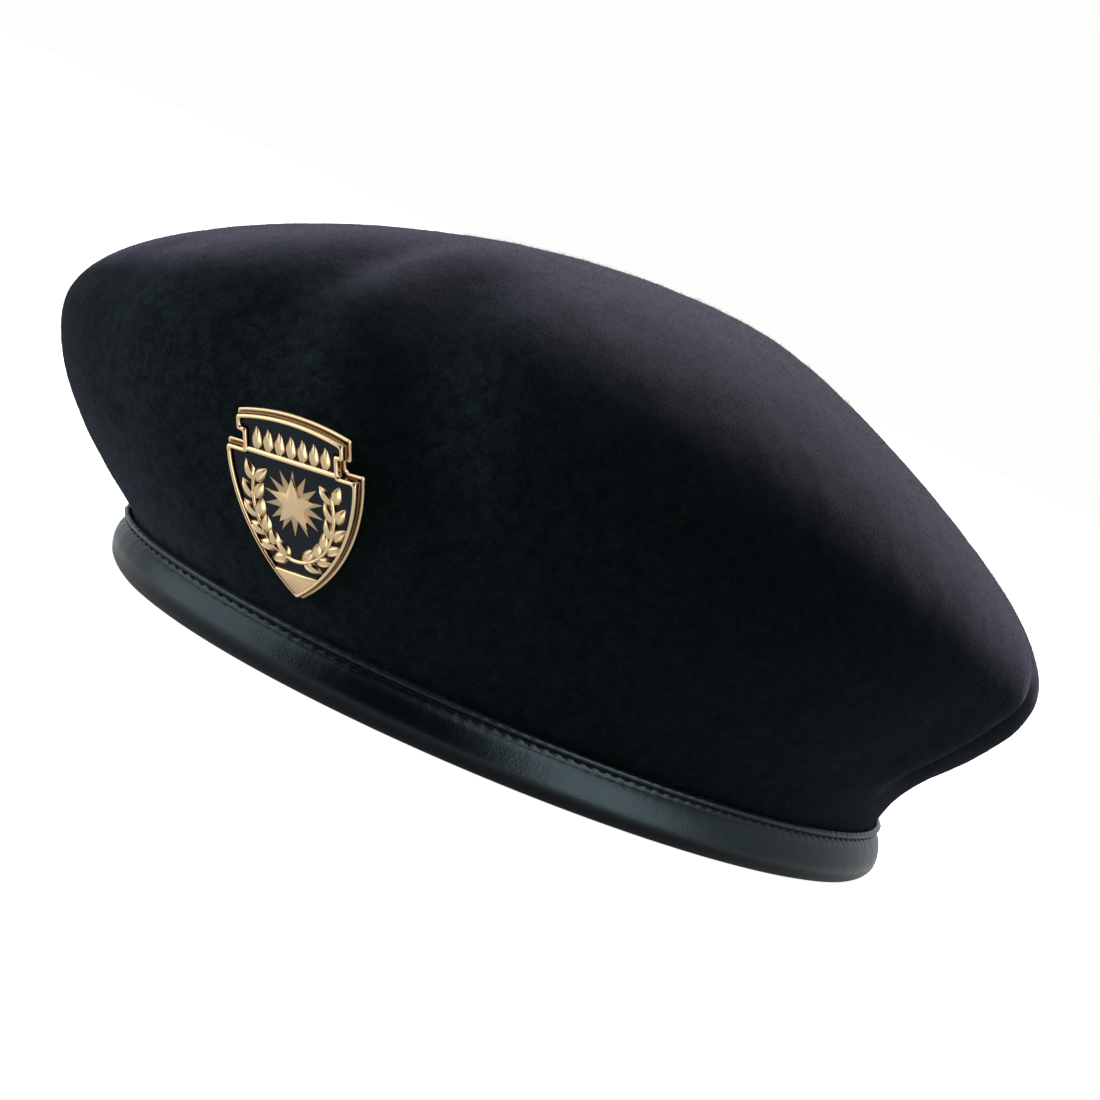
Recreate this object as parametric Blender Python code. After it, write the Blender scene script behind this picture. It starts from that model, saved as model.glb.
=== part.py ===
"""A military beret: a moulded felt crown, a leather band folded over its edge, and a shield badge
that a screw holds through the felt. Metres, +Z up. The wearer faces -Y, with the left side at +X.
The beret rests on its band at Z = 0, and its origin is the middle of its outline seen from above."""

import math
from collections import namedtuple

import bmesh
import bpy
from mathutils import Matrix, Vector
from mathutils.geometry import interpolate_bezier

# Head opening, measured inside the band
HEAD_LENGTH = 0.198
HEAD_WIDTH = 0.166

# Felt crown
FELT = 0.0022
CROWN_HEIGHT = 0.115
CROWN_OVERHANG = 0.042
CROWN_TILT = math.radians(4)
TILT_AZIMUTH = math.radians(240)
SUMMIT_BACK = 0.012
FOLD_DEPTH = 0.006

# Leather band, folded round the felt's lower edge
LEATHER = 0.0012
BAND_HEIGHT = 0.0135
BAND_FLOOR = 0.0022
BAND_BULGE = 0.0022
BAND_REST = 0.0024
STITCH_DROP = 0.0024
STITCH_GROOVE = 0.0004
LINING_DROP = 0.0010

# Gap between pieces that touch on the real beret
GAP = 0.0003

# Shield badge: its outline, and its levels out from the felt
BADGE_HEIGHT = 0.046
BADGE_WIDTH = 0.037
CHIEF_WIDTH = 0.0305
CHIEF_SIDE = 0.0052
CHIEF_ARCH = 0.0022
NOTCH_WIDTH = 0.0016
NOTCH_HEIGHT = 0.0026
CORNER_RADIUS = 0.0007
PLATE_THICKNESS = 0.0008
BODY_THICKNESS = 0.0020
BODY_STEP = 0.0008
RIM_WIDTH = 0.0010
FLOOR_THICKNESS = 0.0004
ENAMEL = 0.0004

# The badge's cast relief: a star on a burst of rays in a laurel wreath, a solid tip, and a bar with
# a row of upright leaves. WREATH_RISE is how far the middle of the star and of the wreath stands
# above the middle of the badge.
RELIEF = 0.0010
STAR_RADIUS = 0.0064
STAR_WAIST = 0.0027
STAR_POST_RADIUS = 0.0014
BURST_RADIUS = 0.0082
BURST_WAIST = 0.0042
BURST_RAYS = 14
WREATH_WIDTH = 0.0222
WREATH_HEIGHT = 0.0286
WREATH_RISE = 0.0018
WREATH_SWEEP = math.radians(110)
WREATH_CROSSING = 0.06
STEM_WIDTH = 0.0012
LEAF_LENGTH = 0.0054
LEAF_WIDTH = 0.0032
LEAF_SPREAD = math.radians(32)
LEAF_PAIRS = 6
TIP_HEIGHT = 0.0085
BAR_WIDTH = 0.0016
CHIEF_LEAVES = 7
CHIEF_LEAF_LENGTH = 0.0062
CHIEF_LEAF_WIDTH = 0.0032
CHIEF_LEAF_PITCH = 0.0031

# Where the badge is pinned on the crown
BADGE_AZIMUTH = math.radians(34.8)
BADGE_CENTRE_HEIGHT = 0.0395
BADGE_TURN = math.radians(10)
SEAT_PRESS = 0.0016
SEAT_FLAT = 0.66
SEAT_DRAWN = 0.40
SEAT_EASE = 0.50
SEAT_RISE = 0.0050

# Badge screw
SHANK_RADIUS = 0.0013
SCREW_HEAD_RADIUS = 0.0045
SCREW_HEAD = 0.0014

# Mesh steps. The columns round the crown and the band stand closer by CROWDING at CROWDED_AZIMUTH,
# on the side with the badge and the folds.
AROUND = 76
CROWDING = 0.4
CROWDED_AZIMUTH = math.radians(80)
WALL_STEPS = 9
TOP_STEPS = 10
BULGE_STEPS = 4
FLANK_STEPS = 8
ARCH_STEPS = 4
STEM_STEPS = 8
ROUND_SIDES = 16
SHARP_TURN = math.radians(35)

# The crown every 30 degrees, from the front towards the wearer's left. flare is how far the band and
# the felt in it lean out, as a share of their height. reach is how far the widest edge then stands
# out, as a share of CROWN_OVERHANG, and edge its height, as a share of CROWN_HEIGHT. belly is how
# much of the reach the wall aims for by a third of its way up. shoulder is the share of the rise
# above the edge that aims straight up, and flat the share of the way to the summit that lies level.
Section = namedtuple("Section", "azimuth flare reach edge belly shoulder flat")
SECTIONS = (
    Section(0, 0.24, 0.82, 0.52, 0.56, 0.48, 0.50),
    Section(30, 0.12, 0.68, 0.57, 0.50, 0.74, 0.56),
    Section(60, 0.04, 0.55, 0.60, 0.42, 0.72, 0.58),
    Section(90, 0.00, 0.52, 0.58, 0.36, 0.60, 0.56),
    Section(120, -0.04, 0.54, 0.56, 0.20, 0.52, 0.32),
    Section(150, -0.06, 0.58, 0.52, 0.02, 0.42, 0.12),
    Section(180, -0.06, 0.64, 0.49, 0.02, 0.44, 0.20),
    Section(210, -0.02, 0.82, 0.42, 0.26, 0.54, 0.42),
    Section(240, 0.04, 0.98, 0.35, 0.54, 0.60, 0.54),
    Section(270, 0.12, 1.02, 0.34, 0.62, 0.62, 0.56),
    Section(300, 0.22, 0.96, 0.39, 0.64, 0.54, 0.52),
    Section(330, 0.28, 0.85, 0.47, 0.64, 0.38, 0.44),
)

# Soft valleys pressed into the felt, and with a negative depth the ridges beside them. azimuth,
# half_width and lean are in degrees: lean is how far a fold turns on its way up. depth is a share
# of FOLD_DEPTH, and low and high are shares of the way from the band to the summit.
Fold = namedtuple("Fold", "azimuth half_width lean depth low high")
FOLDS = (
    Fold(2, 9, -10, 0.35, 0.20, 0.72),
    Fold(26, 8, -14, 1.10, 0.28, 0.80),
    Fold(42, 10, -18, 1.50, 0.28, 0.80),
    Fold(130, 9, 16, -0.35, 0.06, 0.60),
    Fold(140, 9, 16, 1.50, 0.07, 0.60),
    Fold(157, 13, 8, -0.45, 0.10, 0.52),
)

# A leaf's outline, anticlockwise, as shares of its length from its foot and of its width
LEAF_OUTLINE = ((0, 0), (0.25, -0.45), (0.62, -0.42), (1, 0), (0.62, 0.42), (0.25, 0.45))

felt_half_length = HEAD_LENGTH / 2 + LEATHER + GAP + FELT
felt_half_width = HEAD_WIDTH / 2 + LEATHER + GAP + FELT


def clear_scene():
    """Removes what the scene holds, so that only the beret is in it."""
    for thing in list(bpy.data.objects):
        bpy.data.objects.remove(thing)


def finish(name, colour, roughness, metallic=0.0):
    """A plain surface of that colour."""
    material = bpy.data.materials.new(name)
    material.use_nodes = True
    shader = material.node_tree.nodes["Principled BSDF"]
    shader.inputs["Base Color"].default_value = (*colour, 1.0)
    shader.inputs["Roughness"].default_value = roughness
    shader.inputs["Metallic"].default_value = metallic
    material.diffuse_color = (*colour, 1.0)
    return material


def add_object(name, bm, material=None, parent=None):
    """Turns the bmesh into an object of that name."""
    mesh = bpy.data.meshes.new(name)
    bm.to_mesh(mesh)
    bm.free()
    mesh.shade_smooth()
    mesh.set_sharp_from_angle(angle=math.radians(40))
    if material:
        mesh.materials.append(material)
    thing = bpy.data.objects.new(name, mesh)
    bpy.context.scene.collection.objects.link(thing)
    thing.parent = parent
    return thing


def hide(thing):
    """Keeps a piece that only shapes another out of the beret."""
    thing.hide_render = True
    thing.display_type = "WIRE"


def add_boolean(thing, operation, other):
    """Cuts other out of thing, or joins it on."""
    modifier = thing.modifiers.new(operation.lower(), "BOOLEAN")
    modifier.operation = operation
    modifier.object = other
    modifier.solver = "EXACT"
    hide(other)


def smooth_step(share):
    """0 below 0, 1 above 1, and a smooth rise between."""
    share = max(0.0, min(1.0, share))
    return share * share * (3 - 2 * share)


def section_value(column, angle):
    """A column of SECTIONS at any angle, on a smooth curve through the rows."""
    place = (math.degrees(angle) % 360) * len(SECTIONS) / 360
    row = int(place)
    share = place - row
    before, start, end, after = (
        getattr(SECTIONS[(row + step) % len(SECTIONS)], column) for step in (-1, 0, 1, 2)
    )
    bend = 2 * before - 5 * start + 4 * end - after
    twist = 3 * start - before - 3 * end + after
    return start + share * (end - before + share * (bend + share * twist)) / 2


def column_angle(step):
    """The azimuth of a column of the mesh."""
    turn = 2 * math.pi * step / AROUND
    return turn - CROWDING * math.sin(turn - CROWDED_AZIMUTH)


def rim_out(angle):
    """Unit vector pointing straight out of the head opening at that angle."""
    out = Vector((felt_half_length * math.sin(angle), -felt_half_width * math.cos(angle), 0))
    return out.normalized()


def rim_point(angle, out, height):
    """A point round the opening, at a distance out from the outer face of the felt in the band."""
    on_rim = Vector((felt_half_width * math.sin(angle), -felt_half_length * math.cos(angle), height))
    flare = section_value("flare", angle) * min(height, BAND_HEIGHT)
    return on_rim + rim_out(angle) * (out + flare)


def wall_curve(angle, steps):
    """The crown's wall at that angle, from just above the band to the widest edge."""
    reach = section_value("reach", angle) * CROWN_OVERHANG
    edge = section_value("edge", angle) * CROWN_HEIGHT
    foot = BAND_HEIGHT + 2 * GAP
    third = (edge - foot) / 3
    belly = rim_point(angle, section_value("belly", angle) * reach, foot + third)
    under_edge = rim_point(angle, reach, edge - third)
    return interpolate_bezier(
        rim_point(angle, 0, foot), belly, under_edge, rim_point(angle, reach, edge), steps + 1
    )


def top_curve(angle, steps):
    """The crown's top at that angle, from the widest edge to the summit."""
    edge = wall_curve(angle, 1)[-1]
    summit = Vector((0, SUMMIT_BACK, CROWN_HEIGHT))
    above_edge = edge.copy()
    above_edge.z += section_value("shoulder", angle) * (CROWN_HEIGHT - edge.z)
    level = (edge - summit) * section_value("flat", angle)
    downhill = Vector((math.sin(TILT_AZIMUTH), -math.cos(TILT_AZIMUTH), 0))
    level.z = -math.tan(CROWN_TILT) * level.dot(downhill)
    return interpolate_bezier(edge, above_edge, summit + level, summit, steps + 1)


def fold_depth(angle, share):
    """How far the felt is pressed in at that angle and share of the way up to the summit."""
    depth = 0.0
    for fold in FOLDS:
        along = (share - fold.low) / (fold.high - fold.low)
        middle = fold.azimuth + fold.lean * (along - 0.5)
        aside = (math.degrees(angle) - middle + 180) % 360 - 180
        if abs(aside) >= fold.half_width:
            continue
        across = (1 + math.cos(math.pi * aside / fold.half_width)) / 2
        fade = smooth_step(3 * along) * smooth_step(3 * (1 - along))
        depth += fold.depth * FOLD_DEPTH * across * fade
    return depth


def badge_seat():
    """The badge's place on the crown: its X to the wearer's left, Y up the wall and Z out of it."""
    wall = wall_curve(BADGE_AZIMUTH, 40)
    above = next(step for step, point in enumerate(wall) if point.z >= BADGE_CENTRE_HEIGHT)
    up = (wall[above] - wall[above - 1]).normalized()
    share = (BADGE_CENTRE_HEIGHT - wall[above - 1].z) / (wall[above].z - wall[above - 1].z)
    centre = wall[above - 1].lerp(wall[above], share)
    side = rim_out(BADGE_AZIMUTH).cross(Vector((0, 0, -1))).normalized()
    out = side.cross(up).normalized()
    seat = Matrix((side, up, out)).transposed().to_4x4()
    seat.translation = centre - out * SEAT_PRESS
    return seat @ Matrix.Rotation(BADGE_TURN, 4, "Z")


def pressed_flat(point, seat):
    """The badge presses the felt flat behind it, and draws it out less where it falls away. Round the
    badge and down to the band the felt eases back to its own curve."""
    local = seat.inverted() @ point
    if abs(local.z) > BADGE_WIDTH:
        return point
    away = math.hypot(local.x / BADGE_WIDTH, local.y / BADGE_HEIGHT)
    flat = SEAT_FLAT if local.z > 0 else SEAT_DRAWN
    press = 1 - smooth_step((away - flat) / SEAT_EASE)
    press *= smooth_step((point.z - BAND_HEIGHT) / SEAT_RISE)
    local.z *= 1 - press
    return seat @ local


def crown_meridian(angle, seat):
    """Points up the felt at that angle: inside the band, up the wall and over the top."""
    line = wall_curve(angle, WALL_STEPS) + top_curve(angle, TOP_STEPS)[1:]
    side = rim_out(angle).cross(Vector((0, 0, 1)))
    folded = []
    for step, point in enumerate(line):
        along = line[min(step + 1, len(line) - 1)] - line[max(step - 1, 0)]
        outward = along.cross(side).normalized()
        inward = fold_depth(angle, step / (len(line) - 1))
        folded.append(pressed_flat(point - outward * inward, seat))
    tucked = [rim_point(angle, 0, BAND_FLOOR + GAP), rim_point(angle, 0, BAND_HEIGHT)]
    return tucked + folded


def build_crown(material, parent, seat):
    """The felt crown, one wall moulded in one piece, with a hole for the badge's screw."""
    bm = bmesh.new()
    columns = []
    for step in range(AROUND):
        points = crown_meridian(column_angle(step), seat)
        columns.append([bm.verts.new(point) for point in points[:-1]])
    summit = bm.verts.new(points[-1])
    for step, column in enumerate(columns):
        following = columns[(step + 1) % AROUND]
        for low in range(len(column) - 1):
            bm.faces.new((column[low], following[low], following[low + 1], column[low + 1]))
        bm.faces.new((column[-1], following[-1], summit))
    crown = add_object("crown", bm, material, parent)
    wall = crown.modifiers.new("felt", "SOLIDIFY")
    wall.thickness = FELT
    wall.offset = -1
    wall.use_even_offset = True
    wall.use_quality_normals = True
    hole = build_cylinder("screw_hole", SHANK_RADIUS + GAP, -4 * FELT, 4 * FELT, None, parent)
    hole.matrix_local = seat
    add_boolean(crown, "DIFFERENCE", hole)
    return crown


def band_section(angle):
    """The band's section at that angle, anticlockwise, as (out, height) from the felt's outer face."""
    outer_face = GAP + LEATHER
    channel = -(FELT * math.hypot(1, section_value("flare", angle)) + GAP)
    inner_face = channel - LEATHER
    groove = BAND_HEIGHT - STITCH_DROP
    outline = [(-(FELT + BAND_REST) / 2, 0), ((BAND_REST - FELT) / 2, 0)]
    outline.append((outer_face - LEATHER / 4, BAND_FLOOR / 3))
    for step in range(BULGE_STEPS):
        share = step / BULGE_STEPS
        bulge = BAND_BULGE * math.sin(math.pi * (0.15 + 0.85 * share))
        outline.append((outer_face + bulge, BAND_FLOOR + (groove - BAND_FLOOR) * share))
    outline.append((outer_face - STITCH_GROOVE, groove))
    outline.append((outer_face, groove + STITCH_DROP / 4))
    outline.append((outer_face, BAND_HEIGHT - LEATHER / 4))
    outline.append((outer_face - LEATHER / 4, BAND_HEIGHT))
    outline.append((GAP, BAND_HEIGHT))
    outline.append((GAP, BAND_FLOOR))
    outline.append((channel, BAND_FLOOR))
    outline.append((channel, BAND_HEIGHT - LINING_DROP))
    outline.append((inner_face, BAND_HEIGHT - LINING_DROP))
    outline.append((inner_face, BAND_FLOOR))
    outline.append((inner_face + LEATHER / 4, BAND_FLOOR / 3))
    return outline


def build_band(material, parent):
    """The leather band: its section carried once round the head opening."""
    bm = bmesh.new()
    rings = []
    for step in range(AROUND):
        angle = column_angle(step)
        rings.append([bm.verts.new(rim_point(angle, *place)) for place in band_section(angle)])
    for step, ring in enumerate(rings):
        following = rings[(step + 1) % AROUND]
        for corner in range(len(ring)):
            after = (corner + 1) % len(ring)
            bm.faces.new((ring[corner], following[corner], following[after], ring[after]))
    return add_object("band", bm, material, parent)


def build_cylinder(name, radius, low, high, material=None, parent=None):
    """A round bar along Z."""
    bm = bmesh.new()
    middle = Matrix.Translation((0, 0, (low + high) / 2))
    size = {"radius1": radius, "radius2": radius, "depth": high - low}
    bmesh.ops.create_cone(bm, cap_ends=True, segments=ROUND_SIDES, matrix=middle, **size)
    return add_object(name, bm, material, parent)


def build_prism(name, outline, low, high, material=None, parent=None):
    """A plate along Z with that outline."""
    bm = bmesh.new()
    base = bm.faces.new([bm.verts.new((x, y, low)) for x, y in outline])
    raised = bmesh.ops.extrude_face_region(bm, geom=[base])["geom"]
    corners = [part for part in raised if isinstance(part, bmesh.types.BMVert)]
    bmesh.ops.translate(bm, verts=corners, vec=(0, 0, high - low))
    bmesh.ops.recalc_face_normals(bm, faces=bm.faces)
    return add_object(name, bm, material, parent)


def build_pyramid(name, outline, low, edge, top):
    """A plate along Z with that outline, its face raised from its edge to a point over its middle."""
    bm = bmesh.new()
    base = bm.faces.new([bm.verts.new((x, y, low)) for x, y in outline])
    middle = base.calc_center_median()
    raised = bmesh.ops.extrude_face_region(bm, geom=[base])["geom"]
    corners = [part for part in raised if isinstance(part, bmesh.types.BMVert)]
    bmesh.ops.translate(bm, verts=corners, vec=(0, 0, edge - low))
    face = [part for part in raised if isinstance(part, bmesh.types.BMFace)]
    peak = bmesh.ops.poke(bm, faces=face)["verts"][0]
    peak.co = (middle.x, middle.y, top)
    bmesh.ops.recalc_face_normals(bm, faces=bm.faces)
    return add_object(name, bm)


def arc(centre, radius, start, end, steps):
    """Points along an arc between two angles, both ends in."""
    turns = [start + (end - start) * step / steps for step in range(steps + 1)]
    return [(centre[0] + radius * math.cos(turn), centre[1] + radius * math.sin(turn)) for turn in turns]


def rectangle(middle, width, low, high):
    """The corners of an upright rectangle, anticlockwise."""
    left, right = middle - width / 2, middle + width / 2
    return [(left, low), (right, low), (right, high), (left, high)]


def rounded(outline):
    """The outline with its sharp corners eased, each by as much as the edges beside it leave room for."""
    eased = []
    for index, point in enumerate(outline):
        corner = Vector(point)
        before = Vector(outline[index - 1]) - corner
        after = Vector(outline[(index + 1) % len(outline)]) - corner
        turn = math.pi - before.angle(after)
        if turn < SHARP_TURN:
            eased.append(point)
            continue
        cut = min(CORNER_RADIUS * math.tan(turn / 2), 0.4 * before.length, 0.4 * after.length)
        start = corner + before.normalized() * cut
        end = corner + after.normalized() * cut
        middle = (start + end + 2 * corner) / 4
        eased += [start.to_tuple(), middle.to_tuple(), end.to_tuple()]
    return eased


def shoulder_height():
    """How far the shield's shoulders stand above its middle."""
    return BADGE_HEIGHT / 2 - CHIEF_ARCH - CHIEF_SIDE - NOTCH_HEIGHT


def shield_outline(inset):
    """The shield's outline, anticlockwise from its tip, that far inside the badge's edge."""
    shoulder = shoulder_height()
    half = BADGE_WIDTH / 2
    drop = shoulder + BADGE_HEIGHT / 2
    flank_radius = (half**2 + drop**2) / (2 * half) - inset
    flank_centre = (half - inset - flank_radius, shoulder)
    tip = -math.acos(-flank_centre[0] / flank_radius)
    right = arc(flank_centre, flank_radius, tip, -math.asin(inset / flank_radius), FLANK_STEPS)
    chief_half = CHIEF_WIDTH / 2
    right.append((chief_half - NOTCH_WIDTH - inset, shoulder - inset))
    right.append((chief_half - NOTCH_WIDTH - inset, shoulder + NOTCH_HEIGHT + inset))
    right.append((chief_half - inset, shoulder + NOTCH_HEIGHT + inset))
    arch_radius = (chief_half**2 + CHIEF_ARCH**2) / (2 * CHIEF_ARCH) - inset
    arch_centre = (0, BADGE_HEIGHT / 2 - inset - arch_radius)
    corner = math.acos((chief_half - inset) / arch_radius)
    right += arc(arch_centre, arch_radius, corner, math.pi / 2, ARCH_STEPS)
    return rounded(right + [(-x, y) for x, y in reversed(right[1:-1])])


def enamel_levels():
    """Out from the felt: the floor of the shield's field, and the face of the enamel on it."""
    floor = GAP + PLATE_THICKNESS + FLOOR_THICKNESS
    return floor, floor + GAP + ENAMEL


def relief_levels():
    """Out from the felt: the underside of the relief, its low edges, its flat stems and its top."""
    under = enamel_levels()[1] + GAP
    return under, under + 0.35 * RELIEF, under + 0.50 * RELIEF, under + RELIEF


def pointed_outline(points, radius, waist):
    """A star's outline, anticlockwise from the point at its top."""
    outline = []
    for step in range(2 * points):
        reach = waist if step % 2 else radius
        turn = math.pi / 2 + step * math.pi / points
        outline.append((reach * math.cos(turn), reach * math.sin(turn)))
    return outline


def build_star():
    """The star, the burst of rays behind it, and the post that carries both through the enamel."""
    under, edge, stem, top = relief_levels()
    rays = pointed_outline(BURST_RAYS, BURST_RADIUS, BURST_WAIST)
    burst = build_pyramid("burst", rays, under, (under + edge) / 2, stem)
    star = build_pyramid("star", pointed_outline(5, STAR_RADIUS, STAR_WAIST), under, stem, top)
    post = build_cylinder("star_post", STAR_POST_RADIUS, GAP + PLATE_THICKNESS, (under + edge) / 2)
    for piece in (burst, star, post):
        piece.location.y = WREATH_RISE
    return [burst, star, post]


def stem_point(side, share, out=0.0):
    """A point on a branch of the wreath, from its foot at share 0 to its end at 1."""
    turn = WREATH_SWEEP * share - math.pi / 2
    across = side * (WREATH_WIDTH / 2 + out) * math.cos(turn)
    return Vector((across, (WREATH_HEIGHT / 2 + out) * math.sin(turn) + WREATH_RISE, 0))


def build_leaf(length, width, foot, turn):
    """A leaf of the relief, with its foot at that place and its tip in that direction."""
    under, edge, _, top = relief_levels()
    leaf = build_pyramid("leaf", [(length * x, width * y) for x, y in LEAF_OUTLINE], under, edge, top)
    leaf.rotation_euler.z = turn
    leaf.location = foot
    return leaf


def build_branch(side):
    """One branch of the wreath: its stem, and its leaves in pairs."""
    under, _, stem, _ = relief_levels()
    length = 1 + WREATH_CROSSING
    shares = [length * step / STEM_STEPS - WREATH_CROSSING for step in range(STEM_STEPS + 1)]
    outer = [stem_point(side, share, STEM_WIDTH / 2).to_tuple()[:2] for share in shares]
    inner = [stem_point(side, share, -STEM_WIDTH / 2).to_tuple()[:2] for share in shares]
    pieces = [build_prism("stem", outer + inner[::-1], under, stem)]
    for pair in range(LEAF_PAIRS):
        foot = stem_point(side, (pair + 0.5) / LEAF_PAIRS)
        along = stem_point(side, (pair + 1) / LEAF_PAIRS) - foot
        for spread in (-LEAF_SPREAD, LEAF_SPREAD):
            turn = math.atan2(along.y, along.x) + spread
            pieces.append(build_leaf(LEAF_LENGTH, LEAF_WIDTH, foot, turn))
    return pieces


def build_ground():
    """The solid tip of the shield, and the bar and upright leaves that fill its field at the top."""
    under, _, stem, top = relief_levels()
    flat = (stem + top) / 2
    tip_top = TIP_HEIGHT - BADGE_HEIGHT / 2
    tip = [point for point in shield_outline(BODY_STEP + RIM_WIDTH / 2) if point[1] < tip_top]
    bar_width = CHIEF_WIDTH - 2 * NOTCH_WIDTH - 2 * BODY_STEP - RIM_WIDTH
    bar_top = shoulder_height()
    bar = rectangle(0, bar_width, bar_top - BAR_WIDTH, bar_top)
    pieces = [build_pyramid("tip", tip, under, flat, top), build_prism("bar", bar, under, flat)]
    for step in range(CHIEF_LEAVES):
        middle = (step - (CHIEF_LEAVES - 1) / 2) * CHIEF_LEAF_PITCH
        foot = Vector((middle, bar_top - BAR_WIDTH / 2, 0))
        pieces.append(build_leaf(CHIEF_LEAF_LENGTH, CHIEF_LEAF_WIDTH, foot, math.pi / 2))
    return pieces


def build_badge_shield(material, parent, seat):
    """The shield badge, cast in one: back plate, body with a sunk field, rim and relief."""
    plate_top = GAP + PLATE_THICKNESS
    rim_top = plate_top + BODY_THICKNESS
    field_bottom = enamel_levels()[0]
    shield = build_prism("badge_shield", shield_outline(0), GAP, plate_top, material, parent)
    shield.matrix_local = seat
    body = build_prism("badge_body", shield_outline(BODY_STEP), plate_top / 2, rim_top, None, shield)
    outline = shield_outline(BODY_STEP + RIM_WIDTH)
    field = build_prism("badge_field", outline, field_bottom, 2 * rim_top, None, shield)
    add_boolean(shield, "UNION", body)
    add_boolean(shield, "DIFFERENCE", field)
    relief = bpy.data.collections.new("badge_relief")
    for piece in build_star() + build_branch(1) + build_branch(-1) + build_ground():
        piece.parent = shield
        hide(piece)
        relief.objects.link(piece)
    raised = shield.modifiers.new("relief", "BOOLEAN")
    raised.operation = "UNION"
    raised.operand_type = "COLLECTION"
    raised.collection = relief
    raised.solver = "EXACT"
    return shield


def build_badge_enamel(material, parent, seat):
    """The enamel that lies in the shield's field, under the relief."""
    floor, face = enamel_levels()
    outline = shield_outline(BODY_STEP + RIM_WIDTH + GAP)
    enamel = build_prism("badge_enamel", outline, floor + GAP, face, material, parent)
    enamel.matrix_local = seat
    hole = build_cylinder("post_hole", STAR_POST_RADIUS + GAP, floor, face + GAP, None, enamel)
    hole.location.y = WREATH_RISE
    add_boolean(enamel, "DIFFERENCE", hole)
    return enamel


def build_badge_screw(material, parent, seat):
    """The screw behind the badge: its shank passes the felt, and its flat head lies inside the crown."""
    head_top = -FELT - GAP
    screw = build_cylinder("badge_screw", SHANK_RADIUS, head_top - SCREW_HEAD / 2, 0, material, parent)
    screw.matrix_local = seat
    head = build_cylinder("screw_head", SCREW_HEAD_RADIUS, head_top - SCREW_HEAD, head_top, None, screw)
    add_boolean(screw, "UNION", head)
    return screw


def middle_from_above(crown):
    """The middle of the crown's outline seen from above."""
    places = [corner.co for corner in crown.data.vertices]
    lowest = Vector([min(place[axis] for place in places) for axis in range(3)])
    highest = Vector([max(place[axis] for place in places) for axis in range(3)])
    return Vector(((lowest.x + highest.x) / 2, (lowest.y + highest.y) / 2, 0))


def main():
    clear_scene()
    felt = finish("felt", (0.012, 0.013, 0.017), 0.95)
    leather = finish("leather", (0.020, 0.023, 0.026), 0.42)
    gold = finish("gold", (0.72, 0.50, 0.28), 0.30, 1.0)
    enamel = finish("enamel", (0.010, 0.011, 0.018), 0.12)
    steel = finish("steel", (0.45, 0.44, 0.42), 0.35, 1.0)
    origin = bpy.data.objects.new("beret_origin", None)
    bpy.context.scene.collection.objects.link(origin)
    seat = badge_seat()
    crown = build_crown(felt, origin, seat)
    build_band(leather, origin)
    build_badge_shield(gold, origin, seat)
    build_badge_enamel(enamel, origin, seat)
    build_badge_screw(steel, origin, seat)
    origin.location = -middle_from_above(crown)


main()
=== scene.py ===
import math

import bmesh
import bpy
import numpy as np
from mathutils import Matrix, Vector, noise


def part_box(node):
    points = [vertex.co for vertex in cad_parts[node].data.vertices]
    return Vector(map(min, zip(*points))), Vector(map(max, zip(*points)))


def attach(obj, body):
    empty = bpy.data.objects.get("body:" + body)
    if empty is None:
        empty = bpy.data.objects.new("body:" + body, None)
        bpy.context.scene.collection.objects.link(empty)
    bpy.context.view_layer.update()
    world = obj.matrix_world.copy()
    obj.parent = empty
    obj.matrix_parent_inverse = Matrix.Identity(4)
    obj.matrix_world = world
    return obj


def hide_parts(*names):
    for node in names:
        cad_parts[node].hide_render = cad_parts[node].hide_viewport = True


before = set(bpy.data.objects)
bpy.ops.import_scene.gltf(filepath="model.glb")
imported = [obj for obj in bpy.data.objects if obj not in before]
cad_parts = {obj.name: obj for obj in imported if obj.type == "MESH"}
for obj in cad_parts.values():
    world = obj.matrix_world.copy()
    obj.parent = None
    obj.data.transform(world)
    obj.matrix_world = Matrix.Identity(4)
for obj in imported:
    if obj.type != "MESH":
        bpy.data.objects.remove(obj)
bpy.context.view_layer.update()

bpy.ops.object.select_all(action="DESELECT")

# Camera. It looks at the wearer's left side from a little above the floor, rolled so that the band
# runs down to the right. A long lens, because the beret is small and the picture has little depth.
RIM_CENTRE = Vector((0.0112, 0.0054, 0))
LOOKED_AT = RIM_CENTRE + Vector((0, 0, 0.050))
CAMERA_AZIMUTH = math.radians(62)
CAMERA_ELEVATION = math.radians(5.6)
CAMERA_ROLL = math.radians(24.1)
CAMERA_DISTANCE = 0.80
CAMERA_LENS = 104.5
CAMERA_SHIFT = (-0.0264, -0.0139)
bpy.ops.object.camera_add()
camera = bpy.context.object
camera.name = "camera"
camera.matrix_world = (
    Matrix.Translation(LOOKED_AT)
    @ Matrix.Rotation(CAMERA_AZIMUTH, 4, "Z")
    @ Matrix.Rotation(math.radians(90) - CAMERA_ELEVATION, 4, "X")
    @ Matrix.Rotation(CAMERA_ROLL, 4, "Z")
    @ Matrix.Translation((0, 0, CAMERA_DISTANCE))
)
camera.data.lens = CAMERA_LENS
camera.data.shift_x, camera.data.shift_y = CAMERA_SHIFT
camera.data.clip_start = 0.05
bpy.context.scene.camera = camera
bpy.context.scene.view_settings.view_transform = "Standard"

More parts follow.
